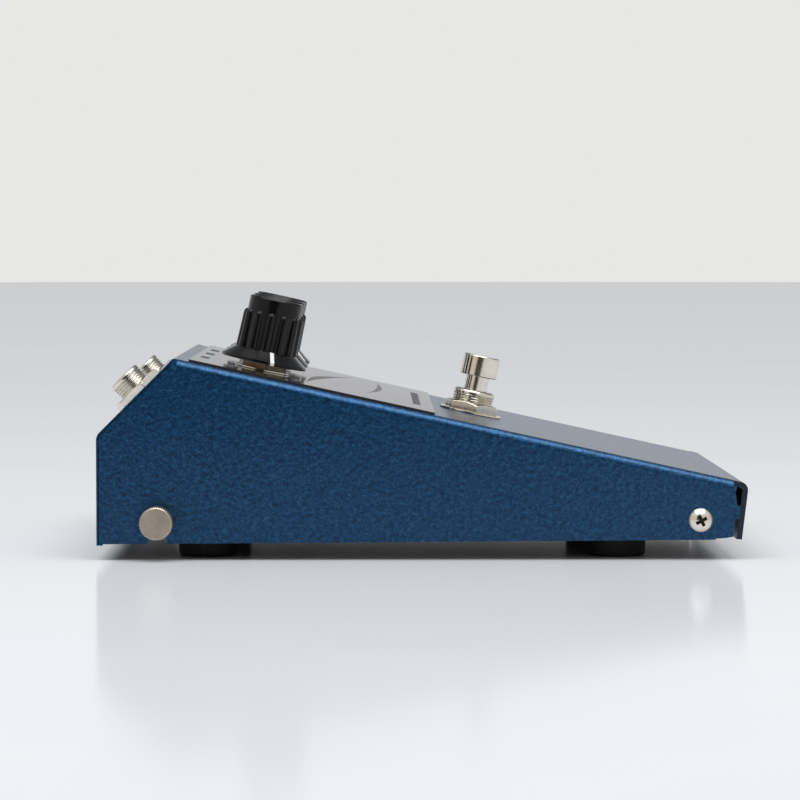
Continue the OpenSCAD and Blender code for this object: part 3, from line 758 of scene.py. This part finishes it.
# Pan heads: radius of the dome, reach of the cross recess, and the depths of its faces
DOME_RADIUS = 4.0 * MM
RECESS_REACH = 1.75 * MM
RECESS_RIM = 0.12 * MM
RECESS_END = 3 * MM


def refine_pivot_screws(looks):
    """Pan heads whose cross recess is painted dark as shade."""
    screws = refined("pivot_screws", [looks["nickel"], painted_recess_shade()], width=0.08 * MM)
    centre = Vector(JOINTS["cover_lift"]["pos_m"])
    low, high = node_box("pivot_screws")
    for face in screws.data.polygons:
        point = face.center
        across = Vector((0, point.y - centre.y, point.z - centre.z))
        depth = min(point.x - low.x, high.x - point.x)
        reach = min(across.length, DOME_RADIUS)
        dome = DOME_RADIUS - (DOME_RADIUS ** 2 - reach ** 2) ** 0.5
        # Faces deep inside the cross recess take the painted shade.
        if across.length < RECESS_REACH and RECESS_RIM + dome < depth < RECESS_END:
            face.material_index = 1


def refine_plate(looks):
    """Mirror face on top, dark cut edges round it."""
    plate = refined("panel_plate", [looks["mirror_plate"], plate_edge()], width=0.05 * MM)
    top = Vector(JOINTS["left_knob_turn"]["axis"])
    for face in plate.data.polygons:
        face.material_index = 0 if face.normal.dot(top) > 0.5 else 1


def refine_thumb_screws():
    """Each screw has a material of its own, turned around its own axis."""
    for side in ("left", "right"):
        node = "thumb_screw_" + side
        centre = Vector(JOINTS[side + "_thumb_screw_turn"]["pos_m"])
        refined(node, [turned_metal("turned_" + side, centre)], width=0.07 * MM, sharp=32)


# ---- Threads and spring ------------------------------------------------------------------

PANEL_NORMAL = Vector(JOINTS["middle_knob_turn"]["axis"])
SWITCH_Y = -0.01475
SWITCH_PITCH = 0.75
JACK_PITCH = 0.79
JACK_REACH = 6.8 * MM      # from the bevel's outer face to the mount's point


def panel_place(joint):
    """Frame of a knob on the top panel, with +Z out of the panel."""
    return facing(JOINTS[joint]["pos_m"], JOINTS[joint]["axis"])


def switch_place():
    """Frame of the footswitch, on the same sloping panel ahead of the middle knob."""
    knob = Vector(JOINTS["middle_knob_turn"]["pos_m"])
    ahead = SWITCH_Y - knob.y
    slope = -PANEL_NORMAL.y / PANEL_NORMAL.z
    return facing(knob + Vector((0, ahead, slope * ahead)), PANEL_NORMAL)


def build_switch_bushing(looks):
    place = switch_place()
    rings = [(-4.4, 3.42, 0), (-4.4, 5.75, 0)]
    rings += thread_rings(-4.2, 5.45, 6.0, 0.36, SWITCH_PITCH)
    rings += [(5.5, 6.0, 0), (5.85, 6.0, 0), (6.15, 5.92, 0), (6.42, 5.74, 0), (6.62, 5.46, 0),
              (6.75, 5.1, 0), (6.8, 4.7, 0), (6.8, 3.75, 0), (6.72, 3.55, 0), (6.5, 3.42, 0)]
    mesh = ring_mesh("switch_threads", rings, [place], SWITCH_PITCH)
    piece = link_piece("switch_threads", mesh, "cover", [looks["nickel"]])
    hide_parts("switch_bushing")


def build_jack_bushings(looks):
    mounts = {mount["name"]: mount for mount in RECORD["mounts"]}
    places = []
    for name in ("left_jack", "right_jack"):
        normal = Vector(mounts[name]["axis"]).normalized()
        places.append(facing(Vector(mounts[name]["pos_m"]) - normal * JACK_REACH, normal))
    rings = [(-3.3, 3.25, 0), (-3.3, 7.3, 0), (-3.2, 7.4, 0), (-2.2, 7.4, 0), (-2.1, 7.3, 0),
             (-2.1, 4.75, 0)]
    rings += thread_rings(-2.0, 5.7, 4.75, 0.34, JACK_PITCH)
    rings += [(5.75, 4.75, 0), (6.2, 4.75, 0), (6.5, 4.66, 0), (6.7, 4.45, 0), (6.8, 4.15, 0),
              (6.8, 3.65, 0), (6.72, 3.45, 0), (6.5, 3.3, 0), (6.2, 3.25, 0)]
    mesh = ring_mesh("jack_threads", rings, places, JACK_PITCH)
    piece = link_piece("jack_threads", mesh, "cover", [looks["nickel"]])
    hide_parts("jack_bushings")


# Return spring in mm, with heights over the panel's face
SPRING_FOOT, SPRING_TOP = -15.0, -9.2
SPRING_TURNS = 4.5
COIL_RADIUS = 4.4
WIRE_RADIUS = 0.35


def build_spring(looks):
    """Return spring as one helix of round wire."""
    place = switch_place()
    low, high = SPRING_FOOT + WIRE_RADIUS, SPRING_TOP - WIRE_RADIUS
    steps, sides = 180, 10
    points, faces = [], []
    for i in range(steps + 1):
        angle = 2 * pi * SPRING_TURNS * i / steps
        height = low + (high - low) * i / steps
        out = Vector((cos(angle), sin(angle), 0))
        for k in range(sides):
            around = 2 * pi * k / sides
            offset = (out * cos(around) + Vector((0, 0, sin(around)))) * WIRE_RADIUS
            centre = out * COIL_RADIUS + Vector((0, 0, height))
            points.append(place @ ((centre + offset) * MM))
    for i in range(steps):
        for k in range(sides):
            m = (k + 1) % sides
            faces.append([i * sides + k, (i + 1) * sides + k, (i + 1) * sides + m, i * sides + m])
    faces.append(list(range(sides)))
    faces.append([steps * sides + k for k in reversed(range(sides))])
    mesh = bpy.data.meshes.new("return_spring")
    mesh.from_pydata(points, [], faces)
    mesh.shade_smooth()
    slot = SLOT_OF["switch_spring"]
    piece = link_piece("return_spring", mesh, "cover", [looks[slot]])
    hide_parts("switch_spring")
    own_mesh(piece)


# ---- Pointers and panel ink ---------------------------------------------------------------

# Knob skirt's outline seen from the side, as (radius mm, height mm), from the rim up
SKIRT = [(12.02, 2.72), (12.02, 3.52), (11.74, 3.74), (10.32, 4.75), (8.62, 6.05), (7.9, 6.05)]
POINTER_WIDTH = 1.1
POINTER_THICK = 0.05
REST_POINTERS = {"left": 193, "middle": 215, "right": 240}      # degrees from +X


def ribbon_mesh(name, place, path, width, thick):
    """Flat bar of (x, z) points in millimetres, as wide as given along Y."""
    points, faces = [], []
    count = len(path)
    for i, (x, z) in enumerate(path):
        ahead = Vector(path[min(i + 1, count - 1)]) - Vector(path[max(i - 1, 0)])
        out = Vector((ahead.y, -ahead.x)).normalized() * -thick
        if out.y < -1e-6 or (abs(out.y) < 1e-6 and out.x < 0):
            out = -out
        for side in (-0.5, 0.5):
            points.append(place @ (Vector((x, side * width, z)) * MM))
        for side in (-0.5, 0.5):
            points.append(place @ (Vector((x + out.x, side * width, z + out.y)) * MM))
    for i in range(count - 1):
        a, b = 4 * i, 4 * (i + 1)
        faces += [[a, b, b + 1, a + 1], [a + 2, a + 3, b + 3, b + 2],
                  [a, a + 2, b + 2, b], [a + 1, b + 1, b + 3, a + 3]]
    faces += [[0, 1, 3, 2], [4 * count - 4, 4 * count - 2, 4 * count - 1, 4 * count - 3]]
    mesh = bpy.data.meshes.new(name)
    mesh.from_pydata(points, [], faces)
    bm = bmesh.new()
    bm.from_mesh(mesh)
    bmesh.ops.recalc_face_normals(bm, faces=bm.faces)
    bm.to_mesh(mesh)
    bm.free()
    return mesh


def build_pointers(white):
    """White lines down the knobs' skirts."""
    for side, angle in REST_POINTERS.items():
        place = panel_place(side + "_knob_turn") @ Matrix.Rotation(radians(angle), 4, "Z")
        mesh = ribbon_mesh("pointer_" + side, place, SKIRT, POINTER_WIDTH, POINTER_THICK)
        link_piece("pointer_" + side, mesh, side + "_knob", [white])


# The plate's printing lies just on its face, at these heights in mm over the panel
INK_HEIGHTS = (0.602, 0.622)
# Bars behind the knobs and blocks before the footswitch, in mm on the plate
LABEL_HALF = 5
LABEL_SPAN = (15.0, 17.4)
BLOCKS = 9
FIRST_BLOCK, BLOCK_PITCH = -30, 7.5
BLOCK_HALF = 2.9
BLOCK_SPAN = (-45.4, -43.2)
STROKE_TIP = 0.08


def ink_shape(name, outline, material):
    """Thin printed shape on the panel plate, from an outline in the plate's own mm."""
    place = panel_place("middle_knob_turn")
    count = len(outline)
    points = [place @ (Vector((x, y, z)) * MM) for z in INK_HEIGHTS for x, y in outline]
    faces = [list(reversed(range(count))), list(range(count, 2 * count))]
    faces += [[i, (i + 1) % count, count + (i + 1) % count, count + i] for i in range(count)]
    mesh = bpy.data.meshes.new(name)
    mesh.from_pydata(points, [], faces)
    link_piece(name, mesh, "cover", [material])


def bar(x, half, span):
    """Outline of a rectangle centred on x, over a span of y."""
    return [(x - half, span[0]), (x + half, span[0]), (x + half, span[1]), (x - half, span[1])]


def sweep(start, end, bow, thickness, steps=24):
    """Outline of a stroke that swells in the middle and bows to one side."""
    a, b = Vector(start), Vector(end)
    along = b - a
    side = Vector((-along.y, along.x)).normalized()
    upper, lower = [], []
    for i in range(steps + 1):
        t = i / steps
        centre = a + along * t + side * bow * sin(pi * t)
        half = side * (STROKE_TIP + thickness * sin(pi * t) ** 2) / 2
        upper.append(tuple(centre + half))
        lower.append(tuple(centre - half))
    return upper + lower[::-1]


def build_panel_ink(dark, pale):
    """Three bars, two strokes and a row of blocks, with no lettering."""
    pitch = JOINTS["right_knob_turn"]["pos_m"][0] / MM
    for name, x in (("left", -pitch), ("middle", 0.0), ("right", pitch)):
        ink_shape("label_" + name, bar(x, LABEL_HALF, LABEL_SPAN), dark)
    ink_shape("stroke_upper", sweep((-44, -13), (44, -25), 3.0, 2.6), pale)
    ink_shape("stroke_lower", sweep((-30, -30), (46, -33), -2.0, 1.6), pale)
    for i in range(BLOCKS):
        x = FIRST_BLOCK + i * BLOCK_PITCH
        ink_shape("block_%d" % (i + 1), bar(x, BLOCK_HALF, BLOCK_SPAN), dark)


# ---- Build --------------------------------------------------------------------------------

def build():
    bpy.context.scene.view_settings.view_transform = "Standard"
    make_camera()
    make_world()
    make_light()
    make_floor()
    make_flag()
    looks = make_materials()
    refine_nodes(looks)
    refine_cover(looks)
    refine_pivot_screws(looks)
    refine_plate(looks)
    refine_thumb_screws()
    build_switch_bushing(looks)
    build_jack_bushings(looks)
    build_spring(looks)
    build_pointers(ink("pointer_white", (0.85, 0.85, 0.84)))
    build_panel_ink(ink("dark_ink", (0.05, 0.05, 0.05)), ink("grey_ink", (0.14, 0.14, 0.135)))


build()
